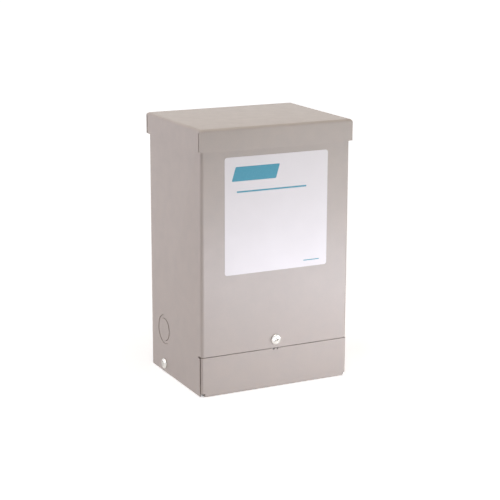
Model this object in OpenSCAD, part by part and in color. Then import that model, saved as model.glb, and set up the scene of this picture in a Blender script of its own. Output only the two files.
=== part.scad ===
// Small wall-hung transformer: a potted core in a folded sheet-steel case, with a wiring
// compartment across the bottom that opens at the front behind a one-screw cover.
// The front faces -Y, the wall is at +Y, and the case stands on z = 0.

/* [Case] */
// Width across the two side walls
case_w = 150; // [130:1:220]
// Depth from the front panel to the back edges of the side walls
case_d = 117; // [95:1:180]
// Height from the floor to the top of the cap
total_h = 246; // [190:1:340]
// Thickness of the painted sheet steel
sheet_t = 1.5; // [1:0.1:2]
// Outside radius of the bends in the sheet
bend_r = 3; // [2.5:0.1:5]
// Width of the flanges that the side walls turn in at the back
return_w = 12; // [9:0.5:18]
// Clearance between sheets that slide over each other
slip_gap = 0.3; // [0.2:0.05:0.6]

/* [Cap] */
// Height of the cap's skirt, from its lower edge to the top
skirt_h = 20; // [12:0.5:30]
// Width of the open slit at each corner of the skirt
corner_slit = 1.2; // [0.6:0.1:2]

/* [Wiring compartment] */
// Height of the seam between the front panel and the cover
seam_z = 38; // [30:0.5:60]
// Open gap along the seam
seam_gap = 0.5; // [0.3:0.1:1.5]
// Inside radius of the cover's bends
cover_inner_r = 0.5; // [0.3:0.1:2]
// Flat left on the cover's side edges past their bends
cover_flat = 0.2; // [0.2:0.1:3]
// Open gap between the cover's side edges and the side walls
edge_gap = 2.2; // [0.8:0.1:4]
// Height of the relief slits where the front panel ends
relief_h = 1.6; // [1:0.1:3]
// Length of the relief slits in the side walls
relief_len = 3; // [1:0.5:6]
// How far the cover's clipped lower corners reach past its bends
clip_extra = 1.4; // [0:0.1:4]
// Depth of the flange under the cover
cover_flange = 14; // [8:0.5:20]
// Width of the strap behind the cover that takes its screw
tab_w = 32; // [20:1:50]
// How far the strap reaches above the seam
tab_reach = 16; // [14:0.5:20]
// How far the strap reaches below the seam
tab_drop = 25; // [15:1:30]
// Width of the two small notches in the cover's edge below its screw
notch_w = 1.2; // [0.8:0.1:2]
// Spacing of those notches
notch_pitch = 4; // [3:0.5:12]
// Underside of the potted core, above the floor
core_z = 64; // [60:1:90]

/* [Bottom plate] */
// Height of the bottom plate's side flanges
flange_h = 18; // [14:0.5:22]
// Gap between the plate's front lip and the inside of the cover
lip_gap = 4.5; // [3:0.5:6]
// Length of the sloping step up to the lip
joggle_len = 2; // [1.5:0.5:4]

/* [Screws] */
// Diameter of the screw heads
head_d = 10; // [8:0.1:12]
// Height of the screw heads
head_h = 2.6; // [1.8:0.1:3.4]
// Diameter of the screw shanks
shank_d = 4.2; // [3:0.1:5]
// Length of the screw shanks
shank_len = 9; // [7:0.5:14]
// Clearance on the diameter where a screw bites
bite_gap = 0.1; // [0.05:0.05:0.2]
// Clearance on the diameter where a screw passes through
pass_gap = 0.8; // [0.4:0.1:1.5]
// Width of the square nut behind the strap
nut_w = 13; // [10:0.5:15]
// Thickness of that nut
nut_t = 3; // [2:0.5:4]
// Height of the cover screw above the seam
cover_screw_up = 8; // [6.5:0.5:9]
// Height of the screws low on the sides
base_screw_z = 8.5; // [7:0.5:12]
// Distance of those screws from the back edges of the side walls
base_screw_in = 32.5; // [20:0.5:60]

/* [Knockouts] */
// Diameter of the larger conduit hole
knockout_d = 28.2; // [26:0.1:29]
// Diameter of the smaller conduit hole
slug_d = 22.2; // [20:0.1:23]
// Width of the sheared line round each disc
shear_gap = 0.35; // [0.2:0.05:0.6]
// Width of the ties that still hold each disc
tie_w = 2.4; // [1.5:0.1:4]
// How far the outer ring is pressed in
ring_step = 0.4; // [0.1:0.05:0.8]
// Height of the side knockouts above the floor
knockout_z = 42; // [36:0.5:46]
// Distance of the side knockouts from the back edges of the side walls
knockout_in = 31.5; // [24:0.5:60]

/* [Wall brackets] */
// Thickness of the brackets' steel
bracket_t = 2; // [1.5:0.1:2.5]
// Inside radius of the brackets' bends
bracket_r = 1.5; // [1:0.1:2]
// How far the brackets stand out behind the case
standoff = 8; // [7:0.5:15]
// Height of the brackets' outer face
web_h = 26; // [24:0.5:34]
// Height of each foot that is welded to the back plate
foot_h = 10; // [8:0.5:14]
// Gap between the cap's skirt and the upper bracket
upper_gap = 17; // [2:1:60]
// Gap between a bracket's ends and the case's return flanges
bracket_end_gap = 2; // [1:0.5:6]
// Height of the lower bracket's middle
lower_z = 34; // [32:0.5:38]
// Width between the wall screws
screw_pitch = 76.2; // [50:0.1:84]
// Width of the slots for the wall screws
slot_w = 7.2; // [6:0.1:8]
// Length of the lower slots
slot_len = 14; // [10:0.5:18]
// Diameter of the keyholes' entry holes
keyhole_d = 14; // [12:0.1:16]
// Rise from the middle of a keyhole's entry to the middle of its slot end
keyhole_rise = 8; // [7:0.5:9]
// Diameter of the tool holes behind the lower slots
tool_hole_d = 20; // [14:0.5:21]

/* [Label] */
// Width of the label
label_w = 104; // [60:1:115]
// Height of the label
label_h = 107.5; // [60:0.5:115]
// Distance from the cap's top down to the label
label_down = 26.5; // [24:0.5:60]
// Radius of the label's corners
label_r = 2.5; // [1:0.5:8]
// Thickness of the label
label_t = 0.25; // [0.1:0.05:0.5]

/* [Hidden] */
$fn = 64;
paint = [0.7, 0.67, 0.64];
zinc = [0.8, 0.8, 0.78];
through = 1;
half_w = case_w / 2;
inner_r = bend_r - sheet_t;
cap_over = sheet_t + slip_gap;
front_reach = max(cap_over, head_h);
front_y = front_reach - (front_reach + case_d + standoff) / 2;
back_y = front_y + case_d;
wall_y = back_y + standoff;
panel_y = front_y + sheet_t;
tab_y = panel_y + sheet_t;
plate_y = back_y - sheet_t;
case_top = total_h - bend_r;
cover_r = cover_inner_r + sheet_t;
cover_return = cover_r + cover_flat;
side_setback = cover_return + edge_gap;
corner_clip = cover_r + clip_extra;
flange_end_y = front_y + cover_flange;
upper_z = total_h - skirt_h - upper_gap - foot_h - web_h / 2;
cover_screw_z = seam_z + cover_screw_up;
bracket_w = case_w - 2 * (return_w + bracket_end_gap);
lip_w = case_w - 4 * bend_r;

// Cross-section of a sheet folded by right angles. It starts at the origin along +X,
// flats are its straight lengths, and turns are the bends between them: 1 left, -1 right.
// t is the sheet's thickness and r the inside radius of its bends.
module folded(flats, turns, t = sheet_t, r = inner_r, i = 0) {
    square([flats[i], t]);
    if (i < len(turns)) {
        left = turns[i] > 0;
        translate([flats[i], left ? r + t : -r]) {
            intersection() {
                difference() {
                    circle(r = r + t);
                    circle(r = r);
                }
                translate([0, left ? -r - t : 0])
                    square(r + t);
            }
            rotate(left ? 90 : -90)
                translate([0, left ? -r - t : r])
                    folded(flats, turns, t, r, i + 1);
        }
    }
}

module rounded_rect(size, r) {
    square([size[0] - 2 * r, size[1]], center = true);
    square([size[0], size[1] - 2 * r], center = true);
    for (x = [-1, 1], y = [-1, 1])
        translate([x * (size[0] / 2 - r), y * (size[1] / 2 - r)])
            circle(r = r);
}

// Turns a shape drawn in X and Y, with Z as its height, to face the front or the wall.
module facing_front(y) {
    translate([0, y, 0])
        rotate([90, 0, 0])
            children();
}

// Turns a shape drawn round Z to lie on a side wall, with +Z pointing out of the case.
module on_side(side, y, z) {
    translate([side * half_w, y, z])
        rotate([0, side * 90, 0])
            children();
}

// A solid whose Y-Z outline is the child, run along X and centred.
module along_x(length) {
    rotate([90, 0, 90])
        translate([0, 0, -length / 2])
            linear_extrude(length)
                children();
}

// A block with its four upper edges rounded, as the cap's sheet bends over.
module cap_block(w, d, h, r) {
    intersection() {
        along_x(w) cap_outline(d, h, r);
        rotate(90) along_x(d) cap_outline(w, h, r);
    }
}

module cap_outline(w, h, r) {
    translate([-w / 2, 0]) square([w, h - r]);
    translate([r - w / 2, 0]) square([w - 2 * r, h]);
    for (side = [-1, 1])
        translate([side * (w / 2 - r), h - r])
            circle(r = r);
}

// Pan-head screw on the Z axis: its head sits on z = 0 and its shank runs down.
module screw(length) {
    edge_h = head_h / 3;
    rise = head_h - edge_h;
    dome_r = (head_d * head_d / 4 + rise * rise) / (2 * rise);
    slot = head_d / 9;
    difference() {
        intersection() {
            cylinder(d = head_d, h = head_h);
            translate([0, 0, head_h - dome_r])
                sphere(r = dome_r);
        }
        for (turn = [0, 90])
            rotate(turn)
                translate([-head_d / 4, -slot / 2, head_h / 2])
                    cube([head_d / 2, slot, head_h]);
    }
    translate([0, 0, -length])
        cylinder(d = shank_d, h = length);
}

// A disc sheared out of the sheet, still held by a tie at each side.
module knockout_disc(outer_d, turn) {
    circle(d = outer_d - 2 * shear_gap);
    intersection() {
        circle(d = outer_d);
        rotate(turn)
            square([outer_d, tie_w], center = true);
    }
}

// The ring lies with its outer face ring_step below z = 0.
module knockout_ring() {
    translate([0, 0, -sheet_t - ring_step])
        linear_extrude(sheet_t)
            difference() {
                knockout_disc(knockout_d, 0);
                circle(d = slug_d);
            }
}

module knockout_slug() {
    translate([0, 0, -sheet_t])
        linear_extrude(sheet_t)
            knockout_disc(slug_d, 90);
}

module potted_core() {
    core_w = case_w - 2 * (sheet_t + slip_gap);
    core_front = panel_y + slip_gap;
    core_back = plate_y - sheet_t - slip_gap;
    color([0.16, 0.15, 0.14])
        translate([0, (core_front + core_back) / 2, core_z])
            linear_extrude(case_top - core_z)
                rounded_rect([core_w, core_back - core_front], inner_r + slip_gap);
}

module back_plate() {
    color(paint)
        facing_front(plate_y)
            linear_extrude(sheet_t)
                difference() {
                    translate([bend_r - half_w, 0])
                        square([case_w - 2 * bend_r, case_top]);
                    for (side = [-1, 1])
                        translate([side * screw_pitch / 2, lower_z])
                            circle(d = tool_hole_d);
                    translate([0, lower_z])
                        circle(d = shank_d + bite_gap);
                }
}

// A bracket of hat section: two feet on the back plate and an outer face at the wall.
module wall_bracket(z) {
    r_out = bracket_r + bracket_t;
    foot = foot_h - bracket_r;
    leg = wall_y - plate_y - 2 * r_out;
    web = web_h - 2 * r_out;
    translate([0, plate_y, z])
        along_x(bracket_w)
            translate([0, -web_h / 2 - foot_h])
                rotate(90)
                    mirror([0, 1])
                        folded([foot, leg, web, leg, foot], [1, -1, -1, 1], bracket_t, bracket_r);
}

module upper_wall_bracket() {
    color(zinc)
        difference() {
            wall_bracket(upper_z);
            for (side = [-1, 1])
                translate([side * screw_pitch / 2, 0, upper_z - keyhole_rise / 2])
                    facing_front(wall_y + through)
                        linear_extrude(bracket_t + 2 * through) {
                            circle(d = keyhole_d);
                            translate([-slot_w / 2, 0])
                                square([slot_w, keyhole_rise]);
                            translate([0, keyhole_rise])
                                circle(d = slot_w);
                        }
        }
}

module lower_wall_bracket() {
    color(zinc)
        difference() {
            wall_bracket(lower_z);
            for (side = [-1, 1])
                translate([side * screw_pitch / 2, 0, lower_z])
                    facing_front(wall_y + through)
                        linear_extrude(bracket_t + 2 * through) {
                            square([slot_len - slot_w, slot_w], center = true);
                            for (end = [-1, 1])
                                translate([end * (slot_len - slot_w) / 2, 0])
                                    circle(d = slot_w);
                        }
        }
}

// Front panel, both side walls and the back returns, folded from one sheet.
module case_wrapper() {
    side_flat = case_d - 2 * bend_r;
    return_flat = return_w - bend_r;
    color(paint)
        difference() {
            linear_extrude(case_top)
                translate([return_w - half_w, back_y])
                    rotate(180)
                        folded(
                            [return_flat, side_flat, case_w - 2 * bend_r, side_flat, return_flat],
                            [1, 1, 1, 1]
                        );
            translate([-half_w - through, front_y - through, -through])
                cube([case_w + 2 * through, side_setback + through, seam_z + through]);
            translate([-half_w - through, front_y, seam_z - relief_h])
                cube([case_w + 2 * through, side_setback + relief_len, relief_h]);
            translate([0, 0, cover_screw_z])
                facing_front(panel_y + through)
                    cylinder(d = shank_d + pass_gap, h = sheet_t + 2 * through);
            for (side = [-1, 1]) {
                on_side(side, back_y - knockout_in, knockout_z)
                    translate([0, 0, -sheet_t - through])
                        cylinder(d = knockout_d, h = sheet_t + 2 * through);
                on_side(side, back_y - base_screw_in, base_screw_z)
                    translate([0, 0, -sheet_t - through])
                        cylinder(d = shank_d + pass_gap, h = sheet_t + 2 * through);
            }
        }
}

// Floor of the compartment: a flange up each side wall takes the side screws, and a raised
// lip at the front reaches over the cover's flange.
module bottom_plate() {
    lip_start = flange_end_y + seam_gap;
    floor_front = lip_start + joggle_len;
    floor_back = plate_y - sheet_t - slip_gap;
    floor_w = case_w - 2 * (sheet_t + slip_gap);
    flange_flat = flange_h - bend_r;
    lip_z = sheet_t + slip_gap;
    color(paint)
        difference() {
            union() {
                facing_front(floor_back)
                    linear_extrude(floor_back - floor_front)
                        translate([-floor_w / 2, flange_h])
                            rotate(-90)
                                folded([flange_flat, floor_w - 2 * bend_r, flange_flat], [1, 1]);
                along_x(lip_w)
                    polygon([
                        [floor_front + bend_r, 0],
                        [floor_front + bend_r, sheet_t],
                        [floor_front, sheet_t],
                        [lip_start, lip_z + sheet_t],
                        [panel_y + lip_gap, lip_z + sheet_t],
                        [panel_y + lip_gap, lip_z],
                        [lip_start, lip_z],
                        [floor_front, 0]
                    ]);
            }
            translate([0, (front_y + back_y) / 2, -through])
                cylinder(d = knockout_d, h = sheet_t + 2 * through);
            for (side = [-1, 1])
                on_side(side, back_y - base_screw_in, base_screw_z)
                    translate([0, 0, -2 * sheet_t - slip_gap - through])
                        cylinder(d = shank_d + bite_gap, h = sheet_t + 2 * through);
        }
}

// Lid over the top, with four skirts that meet at slit corners.
module top_cap() {
    cap_w = case_w + 2 * cap_over;
    cap_d = case_d + 2 * cap_over;
    color(paint)
        translate([0, (front_y + back_y) / 2, total_h - skirt_h])
            difference() {
                cap_block(cap_w, cap_d, skirt_h, bend_r);
                translate([0, 0, -through])
                    cap_block(
                        cap_w - 2 * sheet_t,
                        cap_d - 2 * sheet_t,
                        skirt_h - sheet_t + through,
                        inner_r
                    );
                for (side = [-1, 1], end = [-1, 1])
                    translate([
                        side * (cap_w - sheet_t) / 2,
                        end * (cap_d / 2 - sheet_t - corner_slit / 2),
                        (skirt_h - bend_r - through) / 2
                    ])
                        cube(
                            [sheet_t + 2 * slip_gap, corner_slit, skirt_h - bend_r + through],
                            center = true
                        );
            }
}

// Front of the compartment: rounded edges turn back at the sides, and a flange runs under.
module wiring_cover() {
    cover_top = seam_z - seam_gap;
    color(paint)
        difference() {
            union() {
                translate([0, 0, corner_clip])
                    linear_extrude(cover_top - corner_clip)
                        translate([-half_w, front_y + cover_return])
                            rotate(-90)
                                folded(
                                    [cover_flat, case_w - 2 * cover_r, cover_flat],
                                    [1, 1],
                                    r = cover_inner_r
                                );
                along_x(case_w - 2 * corner_clip)
                    translate([flange_end_y, sheet_t])
                        rotate(180)
                            folded([cover_flange - cover_r, corner_clip + through], [-1], r = cover_inner_r);
            }
            for (side = [-1, 1])
                translate([(side * notch_pitch - notch_w) / 2, front_y - through, cover_top - notch_w])
                    cube([notch_w, sheet_t + 2 * through, notch_w + through]);
        }
}

// Strap welded behind the cover. It stands up behind the front panel for the cover's screw.
module cover_tab() {
    color(zinc)
        facing_front(tab_y)
            linear_extrude(sheet_t)
                difference() {
                    translate([-tab_w / 2, seam_z - tab_drop])
                        square([tab_w, tab_drop + tab_reach]);
                    translate([0, cover_screw_z])
                        circle(d = shank_d + pass_gap);
                }
}

module cover_nut() {
    color(zinc)
        translate([0, 0, cover_screw_z])
            facing_front(tab_y + nut_t)
                linear_extrude(nut_t)
                    difference() {
                        square(nut_w, center = true);
                        circle(d = shank_d + bite_gap);
                    }
}

module cover_screw() {
    color(zinc)
        translate([0, 0, cover_screw_z])
            facing_front(front_y)
                screw(shank_len);
}

module base_screw(side) {
    color(zinc)
        on_side(side, back_y - base_screw_in, base_screw_z)
            screw(shank_len);
}

// Screw inside the compartment that takes the earth wire.
module ground_screw() {
    color([0.1, 0.4, 0.2])
        translate([0, 0, lower_z])
            facing_front(plate_y - sheet_t)
                screw(shank_len / 2);
}

module front_label() {
    color([0.95, 0.94, 0.94])
        translate([0, 0, total_h - label_down - label_h / 2])
            facing_front(front_y)
                linear_extrude(label_t)
                    rounded_rect([label_w, label_h], label_r);
}

module side_knockout(side) {
    color(paint)
        on_side(side, back_y - knockout_in, knockout_z)
            children();
}

module bottom_knockout() {
    color(paint)
        translate([0, (front_y + back_y) / 2, 0])
            rotate([180, 0, 0])
                children();
}

potted_core();
back_plate();
upper_wall_bracket();
lower_wall_bracket();
case_wrapper();
bottom_plate();
top_cap();
wiring_cover();
cover_tab();
cover_nut();
cover_screw();
base_screw(-1);  // left_base_screw
base_screw(1);  // right_base_screw
side_knockout(-1) knockout_ring();  // left_knockout_ring
side_knockout(-1) knockout_slug();  // left_knockout_slug
side_knockout(1) knockout_ring();  // right_knockout_ring
side_knockout(1) knockout_slug();  // right_knockout_slug
bottom_knockout() knockout_ring();  // bottom_knockout_ring
bottom_knockout() knockout_slug();  // bottom_knockout_slug
ground_screw();
front_label();
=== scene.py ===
import math

import bmesh
import bpy
from mathutils import Matrix, Vector


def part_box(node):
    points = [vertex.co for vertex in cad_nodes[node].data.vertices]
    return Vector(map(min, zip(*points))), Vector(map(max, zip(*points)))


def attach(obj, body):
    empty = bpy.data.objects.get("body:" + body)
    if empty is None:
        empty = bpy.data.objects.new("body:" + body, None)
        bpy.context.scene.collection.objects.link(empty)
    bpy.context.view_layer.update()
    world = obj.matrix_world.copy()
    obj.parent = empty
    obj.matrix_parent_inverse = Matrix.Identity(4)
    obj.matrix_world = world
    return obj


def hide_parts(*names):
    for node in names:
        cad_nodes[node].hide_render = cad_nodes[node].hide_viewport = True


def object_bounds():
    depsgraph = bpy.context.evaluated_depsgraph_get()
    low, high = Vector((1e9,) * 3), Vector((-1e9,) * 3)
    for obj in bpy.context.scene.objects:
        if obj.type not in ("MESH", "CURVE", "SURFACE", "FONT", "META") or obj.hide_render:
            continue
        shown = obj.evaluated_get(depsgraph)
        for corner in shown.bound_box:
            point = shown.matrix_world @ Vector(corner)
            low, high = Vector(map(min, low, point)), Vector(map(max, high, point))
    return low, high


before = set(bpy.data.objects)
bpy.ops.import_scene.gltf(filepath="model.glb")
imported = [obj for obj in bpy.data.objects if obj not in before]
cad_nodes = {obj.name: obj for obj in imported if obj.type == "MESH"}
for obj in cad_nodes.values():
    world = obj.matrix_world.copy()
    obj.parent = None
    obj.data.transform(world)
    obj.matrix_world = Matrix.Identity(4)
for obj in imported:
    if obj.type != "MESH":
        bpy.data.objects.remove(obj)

cad_low, cad_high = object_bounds()
MM = 0.001


# ---------------------------------------------------------------- potted core
# The steel core and its copper windings are one block of sand-filled resin, cast in the upper
# part of the case. It is almost black, coarse and dull, and it is the first thing in the case.

def from_srgb(red, green, blue):
    """A colour as paint charts give it, 0 to 255, turned into the shader's linear values."""
    def linear(value):
        value /= 255
        return value / 12.92 if value <= 0.04045 else ((value + 0.055) / 1.055) ** 2.4
    return (linear(red), linear(green), linear(blue), 1.0)


def new_material(name):
    """A material with its principled shader and the coordinates of the object it is on."""
    mat = bpy.data.materials.new(name)
    mat.use_nodes = True
    tree = mat.node_tree
    coords = tree.nodes.new("ShaderNodeTexCoord").outputs["Object"]
    return mat, tree, tree.nodes["Principled BSDF"], coords


def stretched(tree, coords, scale):
    mapping = tree.nodes.new("ShaderNodeMapping")
    mapping.inputs["Scale"].default_value = scale
    tree.links.new(coords, mapping.inputs["Vector"])
    return mapping.outputs["Vector"]


def noise(tree, coords, scale, detail=3.0, roughness=0.5):
    """Cloudy noise from 0 to 1; scale is in clouds per metre."""
    cloud = tree.nodes.new("ShaderNodeTexNoise")
    cloud.inputs["Scale"].default_value = scale
    cloud.inputs["Detail"].default_value = detail
    cloud.inputs["Roughness"].default_value = roughness
    tree.links.new(coords, cloud.inputs["Vector"])
    return cloud.outputs["Fac"]


def remap(tree, value, low, high, to_low, to_high):
    node = tree.nodes.new("ShaderNodeMapRange")
    for socket, number in zip(node.inputs[1:5], (low, high, to_low, to_high)):
        socket.default_value = number
    tree.links.new(value, node.inputs["Value"])
    return node.outputs["Result"]


def mix_colours(tree, factor, first, second):
    """Blends two colours; either may be a fixed colour or another node's output."""
    node = tree.nodes.new("ShaderNodeMix")
    node.data_type = "RGBA"
    tree.links.new(factor, node.inputs["Factor"])
    for socket, colour in ((node.inputs[6], first), (node.inputs[7], second)):
        if isinstance(colour, tuple):
            socket.default_value = colour
        else:
            tree.links.new(colour, socket)
    return node.outputs[2]


def add_bump(tree, shader, height, depth, strength=1.0):
    """Lays one more height on the shader's surface; depth is in metres."""
    node = tree.nodes.new("ShaderNodeBump")
    node.inputs["Strength"].default_value = strength
    node.inputs["Distance"].default_value = depth
    tree.links.new(height, node.inputs["Height"])
    if shader.inputs["Normal"].is_linked:
        tree.links.new(shader.inputs["Normal"].links[0].from_socket, node.inputs["Normal"])
    tree.links.new(node.outputs["Normal"], shader.inputs["Normal"])


resin, tree, shader, coords = new_material("sand_filled_resin")
grain = noise(tree, coords, 900, detail=5, roughness=0.7)
pour = noise(tree, coords, 40, detail=2)
tree.links.new(mix_colours(tree, grain, from_srgb(38, 35, 32), from_srgb(78, 74, 68)),
               shader.inputs["Base Color"])
tree.links.new(remap(tree, pour, 0.3, 0.7, 0.45, 0.8), shader.inputs["Roughness"])
add_bump(tree, shader, grain, 0.4 * MM)
add_bump(tree, shader, pour, 1.5 * MM)


def finish_node(node, mat):
    """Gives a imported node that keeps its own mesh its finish."""
    mesh = cad_nodes[node].data
    mesh.materials.clear()
    mesh.materials.append(mat)


finish_node("potted_core", resin)


# ---------------------------------------------------------------- painted sheet
# The case is 1.5 mm sheet steel in a warm grey baked enamel, satin, with the faint orange peel
# of a sprayed coat. Cut edges are deburred before painting, so each one is slightly round.

enamel, tree, shader, coords = new_material("warm_grey_enamel")
clouds = noise(tree, coords, 14, detail=2)
mottle = noise(tree, coords, 90, detail=4, roughness=0.6)
peel = noise(tree, coords, 420, detail=2, roughness=0.4)
specks = noise(tree, coords, 1500, detail=2, roughness=0.6)
scuffs = noise(tree, stretched(tree, coords, (1.0, 1.0, 0.25)), 120, detail=6, roughness=0.7)
body_colour = mix_colours(tree, clouds, from_srgb(190, 180, 172), from_srgb(196, 185, 177))
body_colour = mix_colours(tree, remap(tree, mottle, 0.35, 0.7, 0.0, 0.5), body_colour,
                          from_srgb(186, 178, 172))
body_colour = mix_colours(tree, remap(tree, specks, 0.62, 0.72, 0.0, 0.35), body_colour,
                          from_srgb(170, 160, 152))
tree.links.new(body_colour, shader.inputs["Base Color"])
shine = tree.nodes.new("ShaderNodeMath")
shine.operation = "ADD"
tree.links.new(remap(tree, mottle, 0.3, 0.7, 0.34, 0.42), shine.inputs[0])
tree.links.new(remap(tree, scuffs, 0.6, 0.75, 0.0, 0.14), shine.inputs[1])
tree.links.new(shine.outputs["Value"], shader.inputs["Roughness"])
shader.inputs["Coat Weight"].default_value = 0.12
shader.inputs["Coat Roughness"].default_value = 0.3
add_bump(tree, shader, peel, 0.06 * MM)
add_bump(tree, shader, specks, 0.01 * MM)


def clean_copy(node):
    """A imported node's shape as a joined mesh with whole flat faces instead of triangles."""
    shape = bmesh.new()
    shape.from_mesh(cad_nodes[node].data)
    bmesh.ops.remove_doubles(shape, verts=shape.verts, dist=0.002 * MM)
    bmesh.ops.dissolve_limit(shape, angle_limit=math.radians(0.5), verts=shape.verts,
                             edges=shape.edges, use_dissolve_boundaries=False)
    return shape


def as_piece(shape, name, mat, slot, *replaced):
    """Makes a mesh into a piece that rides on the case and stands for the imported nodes."""
    if isinstance(shape, bmesh.types.BMesh):
        mesh = bpy.data.meshes.new(name)
        shape.to_mesh(mesh)
        shape.free()
    else:
        mesh = shape
    if mat:
        mesh.materials.clear()
        mesh.materials.append(mat)
    piece = bpy.data.objects.new(name, mesh)
    bpy.context.scene.collection.objects.link(piece)
    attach(piece, "root")
    if replaced:
        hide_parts(*replaced)
    return piece


MERGE = 0.006 * MM


def baked(source, merge=MERGE):
    """The mesh of an object with its modifiers applied; the object itself is removed."""
    graph = bpy.context.evaluated_depsgraph_get()
    mesh = bpy.data.meshes.new_from_object(source.evaluated_get(graph))
    bpy.data.objects.remove(source)
    shape = bmesh.new()
    shape.from_mesh(mesh)
    if merge:
        bmesh.ops.remove_doubles(shape, verts=shape.verts, dist=merge)
        bmesh.ops.dissolve_degenerate(shape, edges=shape.edges, dist=merge)
    shape.to_mesh(mesh)
    shape.free()
    return mesh


def deburred(node, edge, merge=MERGE):
    """A packed sheet piece with its cut edges rounded by the given radius."""
    mesh = bpy.data.meshes.new(node + "_edges")
    shape = clean_copy(node)
    shape.to_mesh(mesh)
    shape.free()
    mesh.shade_smooth()
    mesh.set_sharp_from_angle(angle=math.radians(30))
    holder = bpy.data.objects.new(node + "_edges", mesh)
    bpy.context.scene.collection.objects.link(holder)
    bevel = holder.modifiers.new("deburr", "BEVEL")
    bevel.width = edge
    bevel.segments = 2
    bevel.limit_method = "ANGLE"
    bevel.angle_limit = math.radians(40)
    bevel.harden_normals = True
    return baked(holder, merge)


SHEET_EDGE = 0.25 * MM
as_piece(deburred("case_wrapper", SHEET_EDGE), "case_sheet", enamel, "case_paint", "case_wrapper")
as_piece(deburred("back_plate", SHEET_EDGE), "back_sheet", enamel, "case_paint", "back_plate")
as_piece(deburred("bottom_plate", SHEET_EDGE), "floor_sheet", enamel, "case_paint", "bottom_plate")
as_piece(deburred("top_cap", SHEET_EDGE, 0), "cap_sheet", enamel, "case_paint", "top_cap")
as_piece(deburred("wiring_cover", SHEET_EDGE), "cover_sheet", enamel, "case_paint",
         "wiring_cover")


# ---------------------------------------------------------------- knockouts
# Each conduit knockout is a ring and a disc that the press has sheared round and left on two
# ties. They are painted with the case, and the shear has rolled their edges over.

SHEAR_EDGE = 0.2 * MM
for place in ("left", "right", "bottom"):
    for part in ("ring", "slug"):
        node = place + "_knockout_" + part
        as_piece(deburred(node, SHEAR_EDGE), node + "_sheet", enamel, "case_paint", node)


# ---------------------------------------------------------------- wall brackets
# Two hat-section brackets in 2 mm zinc-plated steel hang the case on its wall. Each foot is
# spot-welded to the back plate, and the electrode leaves a round mark at every weld.

zinc, tree, shader, coords = new_material("dull_zinc_plate")
rolled = noise(tree, stretched(tree, coords, (3.0, 60.0, 60.0)), 12, detail=5, roughness=0.6)
spangle = tree.nodes.new("ShaderNodeTexVoronoi")
spangle.inputs["Scale"].default_value = 160
tree.links.new(coords, spangle.inputs["Vector"])
tree.links.new(mix_colours(tree, spangle.outputs["Distance"], from_srgb(176, 178, 180),
                           from_srgb(200, 200, 198)), shader.inputs["Base Color"])
shader.inputs["Metallic"].default_value = 1.0
tree.links.new(remap(tree, rolled, 0.3, 0.7, 0.32, 0.52), shader.inputs["Roughness"])
add_bump(tree, shader, rolled, 0.03 * MM)

as_piece(deburred("upper_wall_bracket", 0.3 * MM), "upper_bracket", zinc, "zinc_plate",
         "upper_wall_bracket")
as_piece(deburred("lower_wall_bracket", 0.3 * MM), "lower_bracket", zinc, "zinc_plate",
         "lower_wall_bracket")


def node_tree(name, sockets):
    """An empty geometry tree with a geometry in and out and the named inputs given."""
    tree = bpy.data.node_groups.new(name, "GeometryNodeTree")
    tree.interface.new_socket("Geometry", in_out="OUTPUT", socket_type="NodeSocketGeometry")
    tree.interface.new_socket("Geometry", in_out="INPUT", socket_type="NodeSocketGeometry")
    for label, kind in sockets:
        tree.interface.new_socket(label, in_out="INPUT", socket_type="NodeSocket" + kind)
    return tree, tree.nodes.new("NodeGroupInput").outputs, tree.nodes.new("NodeGroupOutput")


def grow(name, tree, points, values):
    """Runs a geometry tree on a set of points and returns the finished mesh."""
    seed = bpy.data.meshes.new(name + "_points")
    seed.from_pydata(points, [], [])
    holder = bpy.data.objects.new(name + "_points", seed)
    bpy.context.scene.collection.objects.link(holder)
    growth = holder.modifiers.new("grow", "NODES")
    growth.node_group = tree
    for item in tree.interface.items_tree:
        if item.in_out == "INPUT" and item.name in values:
            growth[item.identifier] = values[item.name]
    return baked(holder)


weld_tree, given, out = node_tree("spot_weld_marks", [
    ("Ring Radius", "Float"), ("Bead Radius", "Float"), ("Facing", "Vector"),
    ("Material", "Material")])
ring = weld_tree.nodes.new("GeometryNodeCurvePrimitiveCircle")
ring.inputs["Resolution"].default_value = 32
bead = weld_tree.nodes.new("GeometryNodeCurvePrimitiveCircle")
bead.inputs["Resolution"].default_value = 8
sweep = weld_tree.nodes.new("GeometryNodeCurveToMesh")
spread = weld_tree.nodes.new("GeometryNodeInstanceOnPoints")
realize = weld_tree.nodes.new("GeometryNodeRealizeInstances")
paint = weld_tree.nodes.new("GeometryNodeSetMaterial")
for source, target in (
    (given["Ring Radius"], ring.inputs["Radius"]),
    (given["Bead Radius"], bead.inputs["Radius"]),
    (ring.outputs["Curve"], sweep.inputs["Curve"]),
    (bead.outputs["Curve"], sweep.inputs["Profile Curve"]),
    (given["Geometry"], spread.inputs["Points"]),
    (sweep.outputs["Mesh"], spread.inputs["Instance"]),
    (given["Facing"], spread.inputs["Rotation"]),
    (spread.outputs["Instances"], realize.inputs["Geometry"]),
    (realize.outputs["Geometry"], paint.inputs["Geometry"]),
    (given["Material"], paint.inputs["Material"]),
    (paint.outputs["Geometry"], out.inputs["Geometry"]),
):
    weld_tree.links.new(source, target)

WELDS_A_FOOT = 3
welds = []
for node in ("upper_wall_bracket", "lower_wall_bracket"):
    low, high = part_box(node)
    foot_face = low.y + 2 * MM
    for z in (low.z + 4.5 * MM, high.z - 4.5 * MM):
        for k in range(WELDS_A_FOOT):
            x = low.x + (high.x - low.x) * (k + 0.5) / WELDS_A_FOOT
            welds.append((x, foot_face, z))
marks = grow("spot_welds", weld_tree, welds, {
    "Ring Radius": 2.2 * MM, "Bead Radius": 0.18 * MM, "Facing": (math.pi / 2, 0.0, 0.0),
    "Material": zinc})
as_piece(marks, "spot_welds", None, "zinc_plate")


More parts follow.
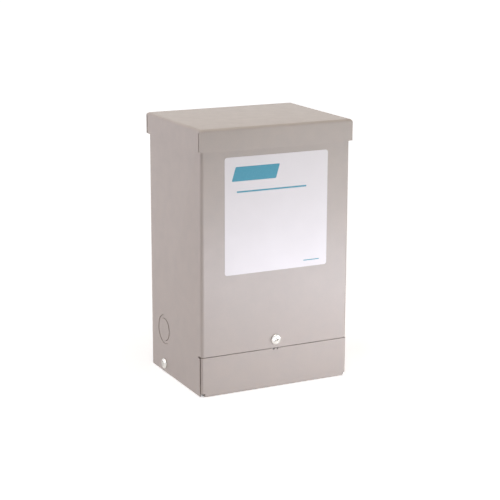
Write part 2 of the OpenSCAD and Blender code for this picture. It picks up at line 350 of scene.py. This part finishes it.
# ---------------------------------------------------------------- cover strap and nut
# A flat zinc-plated strap is welded behind the cover and stands up behind the front panel. The
# cover's screw goes through the panel and the strap into a square nut.

finish_node("cover_tab", zinc)
finish_node("cover_nut", zinc)


# ---------------------------------------------------------------- screws
# Three pan-head screws in bright zinc plate: one holds the cover, and one in each side wall
# holds the bottom plate. The cross recess is punched, with a soft lip round it.

bright, tree, shader, coords = new_material("bright_zinc_plate")
stain = noise(tree, coords, 500, detail=3)
tree.links.new(mix_colours(tree, stain, from_srgb(205, 203, 198), from_srgb(228, 227, 224)),
               shader.inputs["Base Color"])
shader.inputs["Metallic"].default_value = 1.0
tree.links.new(remap(tree, stain, 0.3, 0.7, 0.16, 0.3), shader.inputs["Roughness"])
add_bump(tree, shader, noise(tree, coords, 2500, detail=2), 0.01 * MM)

head_low, head_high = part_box("cover_screw")
HEAD_R = (head_high.x - head_low.x) / 2
HEAD_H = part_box("case_wrapper")[0].y - head_low.y
SHANK_R = 2.1 * MM
SHANK_L = (head_high.y - head_low.y) - HEAD_H


def pan_head(name, mat):
    """A screw along Z, its head's seat on Z = 0, turned from its outline and punched."""
    outline = []
    steps = 14
    for k in range(steps + 1):
        turn = math.pi / 2 * k / steps
        outline.append((HEAD_R * math.sin(turn) ** 0.75,
                        HEAD_H * (0.22 + 0.78 * math.cos(turn) ** 0.8)))
    outline += [(HEAD_R, 0.08 * HEAD_H), (HEAD_R * 0.97, 0.0), (SHANK_R, 0.0),
                (SHANK_R, -SHANK_L * 0.85), (SHANK_R * 0.6, -SHANK_L), (0.0, -SHANK_L)]
    shape = bmesh.new()
    row = [shape.verts.new((r, 0, z)) for r, z in outline]
    edges = [shape.edges.new(pair) for pair in zip(row, row[1:])]
    bmesh.ops.spin(shape, geom=row + edges, cent=(0, 0, 0), axis=(0, 0, 1),
                   angle=2 * math.pi, steps=64, use_duplicate=False)
    bmesh.ops.remove_doubles(shape, verts=shape.verts, dist=0.001 * MM)
    bmesh.ops.recalc_face_normals(shape, faces=shape.faces)
    mesh = bpy.data.meshes.new(name)
    shape.to_mesh(mesh)
    shape.free()
    head = bpy.data.objects.new(name, mesh)
    bpy.context.scene.collection.objects.link(head)

    punch = bmesh.new()
    arm, half, floor = HEAD_R * 0.56, HEAD_R * 0.11, HEAD_H * 0.35
    for turn in (0, math.pi / 2):
        wedge = bmesh.ops.create_cube(punch, size=1.0)["verts"]
        for v in wedge:
            top = v.co.z > 0
            reach = arm * (1.15 if top else 0.45)
            v.co = Vector((math.copysign(reach, v.co.x),
                           math.copysign(half * (1.1 if top else 0.8), v.co.y),
                           HEAD_H * 1.2 if top else floor))
        bmesh.ops.rotate(punch, verts=wedge, cent=(0, 0, 0),
                         matrix=Matrix.Rotation(turn, 3, "Z"))
    punch_mesh = bpy.data.meshes.new(name + "_punch")
    punch.to_mesh(punch_mesh)
    punch.free()
    tool = bpy.data.objects.new(name + "_punch", punch_mesh)
    bpy.context.scene.collection.objects.link(tool)
    cut = head.modifiers.new("recess", "BOOLEAN")
    cut.operation = "DIFFERENCE"
    cut.solver = "EXACT"
    cut.use_self = True
    cut.object = tool
    lip = head.modifiers.new("lip", "BEVEL")
    lip.width = 0.12 * MM
    lip.segments = 2
    lip.limit_method = "ANGLE"
    lip.angle_limit = math.radians(40)
    mesh = baked(head)
    bpy.data.objects.remove(tool)
    mesh.materials.clear()
    mesh.materials.append(mat)
    mesh.shade_smooth()
    mesh.set_sharp_from_angle(angle=math.radians(35))
    return mesh


screw_tree, given, out = node_tree("driven_screws", [
    ("Screw", "Object"), ("Facing", "Vector"), ("Driven Turn", "Float"), ("Size", "Float")])
info = screw_tree.nodes.new("GeometryNodeObjectInfo")
place = screw_tree.nodes.new("GeometryNodeInstanceOnPoints")
twist = screw_tree.nodes.new("GeometryNodeRotateInstances")
turn = screw_tree.nodes.new("ShaderNodeCombineXYZ")
realize = screw_tree.nodes.new("GeometryNodeRealizeInstances")
for source, target in (
    (given["Screw"], info.inputs["Object"]),
    (given["Geometry"], place.inputs["Points"]),
    (info.outputs["Geometry"], place.inputs["Instance"]),
    (given["Facing"], place.inputs["Rotation"]),
    (given["Size"], place.inputs["Scale"]),
    (place.outputs["Instances"], twist.inputs["Instances"]),
    (given["Driven Turn"], turn.inputs["Z"]),
    (turn.outputs["Vector"], twist.inputs["Rotation"]),
    (twist.outputs["Instances"], realize.inputs["Geometry"]),
    (realize.outputs["Geometry"], out.inputs["Geometry"]),
):
    screw_tree.links.new(source, target)

pattern = bpy.data.objects.new("screw_pattern", pan_head("screw_blank", bright))
bpy.context.scene.collection.objects.link(pattern)
side_low, side_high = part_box("case_wrapper")


def seat_of(node):
    low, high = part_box(node)
    return (low + high) / 2


cover_at, left_at, right_at = (seat_of(n) for n in
                               ("cover_screw", "left_base_screw", "right_base_screw"))
for name, node, seat, facing, driven in (
    ("cover_fixing", "cover_screw", (cover_at.x, side_low.y, cover_at.z),
     (math.pi / 2, 0.0, 0.0), 0.35),
    ("left_fixing", "left_base_screw", (side_low.x, left_at.y, left_at.z),
     (0.0, -math.pi / 2, 0.0), 0.2),
    ("right_fixing", "right_base_screw", (side_high.x, right_at.y, right_at.z),
     (0.0, math.pi / 2, 0.0), 0.9),
):
    mesh = grow(name, screw_tree, [seat], {
        "Screw": pattern, "Facing": facing, "Driven Turn": driven, "Size": 1.0})
    as_piece(mesh, name, None, "screw_zinc", node)
bpy.data.objects.remove(pattern)


# ---------------------------------------------------------------- earth screw
# The earth screw in the wiring compartment is dyed green over its plating.

green, tree, shader, coords = new_material("green_dye")
tree.links.new(mix_colours(tree, noise(tree, coords, 300), from_srgb(24, 92, 44),
                           from_srgb(48, 130, 68)), shader.inputs["Base Color"])
shader.inputs["Metallic"].default_value = 0.6
shader.inputs["Roughness"].default_value = 0.35
finish_node("ground_screw", green)


# ---------------------------------------------------------------- label
# The rating label is a white film with round corners, stuck to the front panel. Its print is
# left out: only a plain coloured bar and thin rules are on it.

film, tree, shader, coords = new_material("white_label_film")
tree.links.new(mix_colours(tree, noise(tree, coords, 60), from_srgb(241, 237, 238),
                           from_srgb(245, 241, 242)), shader.inputs["Base Color"])
ripple = noise(tree, coords, 45, detail=1)
tree.links.new(remap(tree, ripple, 0.3, 0.7, 0.3, 0.4), shader.inputs["Roughness"])
add_bump(tree, shader, ripple, 0.25 * MM)
add_bump(tree, shader, noise(tree, coords, 900, detail=2), 0.01 * MM)
as_piece(deburred("front_label", 0.08 * MM), "label_film", film, "label_white", "front_label")

ink, tree, shader, coords = new_material("teal_ink")
tree.links.new(mix_colours(tree, noise(tree, coords, 700), from_srgb(60, 150, 176),
                           from_srgb(86, 170, 192)), shader.inputs["Base Color"])
shader.inputs["Roughness"].default_value = 0.45
label_low, label_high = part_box("front_label")
INK_LIFT = 0.03 * MM
CORNER_STEPS = 6


def printed_bar(shape, left, top, width, height, corner, lean=0.0):
    """Adds one flat bar of ink; left and top are measured from the label's top left corner."""
    rim = []
    for cx, cz, start in ((width - corner, corner - height, -90), (width - corner, -corner, 0),
                          (corner, -corner, 90), (corner, corner - height, 180)):
        for k in range(CORNER_STEPS + 1):
            turn = math.radians(start + 90 * k / CORNER_STEPS)
            x, z = cx + corner * math.cos(turn), cz + corner * math.sin(turn)
            rim.append(shape.verts.new((label_low.x + left + x + lean * (z + height),
                                        label_low.y - INK_LIFT, label_high.z - top + z)))
    face = shape.faces.new(rim)
    back = bmesh.ops.extrude_face_region(shape, geom=[face], use_keep_orig=True)["geom"]
    bmesh.ops.translate(shape, vec=(0, INK_LIFT, 0),
                        verts=[v for v in back if isinstance(v, bmesh.types.BMVert)])


bars = bmesh.new()
printed_bar(bars, 7 * MM, 9 * MM, 44 * MM, 13 * MM, 0.8 * MM, 0.3)
printed_bar(bars, 12 * MM, 31 * MM, 70 * MM, 1.4 * MM, 0.3 * MM)
printed_bar(bars, 80 * MM, 101 * MM, 16 * MM, 0.8 * MM, 0.2 * MM)
bmesh.ops.recalc_face_normals(bars, faces=bars.faces)
as_piece(bars, "label_bars", ink, None)


# ---------------------------------------------------------------- studio
# A plain white floor that keeps the object's shadow, a white surround and soft lamps.

W = side_high.x - side_low.x
body_middle = Vector((0, (side_low.y + side_high.y) / 2, cad_high.z / 2))


FLOOR_DROP = 0.2 * MM


def seen_directly(tree):
    """1 for what the camera sees, by itself or mirrored in metal, and 0 for light that falls."""
    path = tree.nodes.new("ShaderNodeLightPath")
    either = tree.nodes.new("ShaderNodeMath")
    either.operation = "MAXIMUM"
    tree.links.new(path.outputs["Is Camera Ray"], either.inputs[0])
    tree.links.new(path.outputs["Is Glossy Ray"], either.inputs[1])
    return either.outputs["Value"]


def studio_plane(name, half, colour, near_glow, far_glow):
    mesh = bpy.data.meshes.new(name)
    mesh.from_pydata([(-half, -half, -FLOOR_DROP), (half, -half, -FLOOR_DROP),
                      (half, half, -FLOOR_DROP), (-half, half, -FLOOR_DROP)],
                     [], [(0, 1, 2, 3)])
    mat, tree, shader, coords = new_material(name)
    shader.inputs["Base Color"].default_value = colour
    shader.inputs["Roughness"].default_value = 0.9
    shader.inputs["Specular IOR Level"].default_value = 0.1
    reach = tree.nodes.new("ShaderNodeVectorMath")
    reach.operation = "LENGTH"
    tree.links.new(coords, reach.inputs[0])
    strength = tree.nodes.new("ShaderNodeMath")
    strength.operation = "MULTIPLY"
    tree.links.new(seen_directly(tree), strength.inputs[0])
    tree.links.new(remap(tree, reach.outputs["Value"], 0.3, 1.5, near_glow, far_glow),
                   strength.inputs[1])
    shader.inputs["Emission Color"].default_value = (1, 1, 1, 1)
    tree.links.new(strength.outputs["Value"], shader.inputs["Emission Strength"])
    mesh.materials.append(mat)
    plane = bpy.data.objects.new(name, mesh)
    bpy.context.scene.collection.objects.link(plane)
    return plane


studio_plane("studio_floor", 6.0, (0.86, 0.86, 0.85, 1), 0.6, 1.0)

world = bpy.data.worlds.new("surround")
bpy.context.scene.world = world
world.use_nodes = True
tree = world.node_tree
background = tree.nodes["Background"]
SURROUND_LIGHT = 0.05
strength = remap(tree, seen_directly(tree), 0.0, 1.0, SURROUND_LIGHT, 1.0)
background.inputs["Color"].default_value = (1, 1, 1, 1)
tree.links.new(strength, background.inputs["Strength"])


def softbox(name, azimuth, elevation, distance, size, power, colour, aim=body_middle):
    a, e = math.radians(azimuth), math.radians(elevation)
    back = Vector((math.sin(a) * math.cos(e), -math.cos(a) * math.cos(e), math.sin(e)))
    lamp = bpy.data.lights.new(name, "AREA")
    lamp.shape = "RECTANGLE"
    lamp.size, lamp.size_y = size
    lamp.energy = power
    lamp.color = colour
    holder = bpy.data.objects.new(name, lamp)
    holder.location = body_middle + back * distance
    holder.rotation_mode = "QUATERNION"
    holder.rotation_quaternion = (aim - holder.location).to_track_quat("-Z", "Y")
    bpy.context.scene.collection.objects.link(holder)


front_foot = Vector((0, side_low.y, 0))
softbox("front_right_box", 42, 4, 1.0, (0.7, 0.5), 1.9, (0.95, 1.0, 0.96))
softbox("low_front_box", 18, -14, 0.36, (0.5, 0.05), 0.64, (0.86, 0.875, 1.0), front_foot)
softbox("overhead_box", 0, 82, 1.2, (0.9, 0.9), 8.4, (1.0, 0.9, 0.82))
softbox("left_rear_box", -110, 12, 1.1, (0.8, 0.6), 4.6, (0.97, 0.92, 1.0))

# The camera stands in front and to the left, a little above the middle of the case.
AZIMUTH, ELEVATION, ROLL = (math.radians(v) for v in (-26.42, 13.85, 0.166))
back = Vector((math.sin(AZIMUTH) * math.cos(ELEVATION),
               -math.cos(AZIMUTH) * math.cos(ELEVATION), math.sin(ELEVATION)))
right = (-back).cross(Vector((0, 0, 1))).normalized()
up = right.cross(-back)
camera = bpy.data.objects.new("camera", bpy.data.cameras.new("camera"))
camera.data.lens = 104.87
camera.data.sensor_width = 36
camera.location = body_middle + W * (9.171 * back + 0.0142 * right - 0.0342 * up)
tilted_right = right * math.cos(ROLL) + up * math.sin(ROLL)
tilted_up = up * math.cos(ROLL) - right * math.sin(ROLL)
camera.rotation_mode = "QUATERNION"
camera.rotation_quaternion = Matrix((tilted_right, tilted_up, back)).transposed().to_quaternion()
bpy.context.scene.collection.objects.link(camera)
bpy.context.scene.camera = camera
bpy.context.scene.view_settings.view_transform = "Standard"
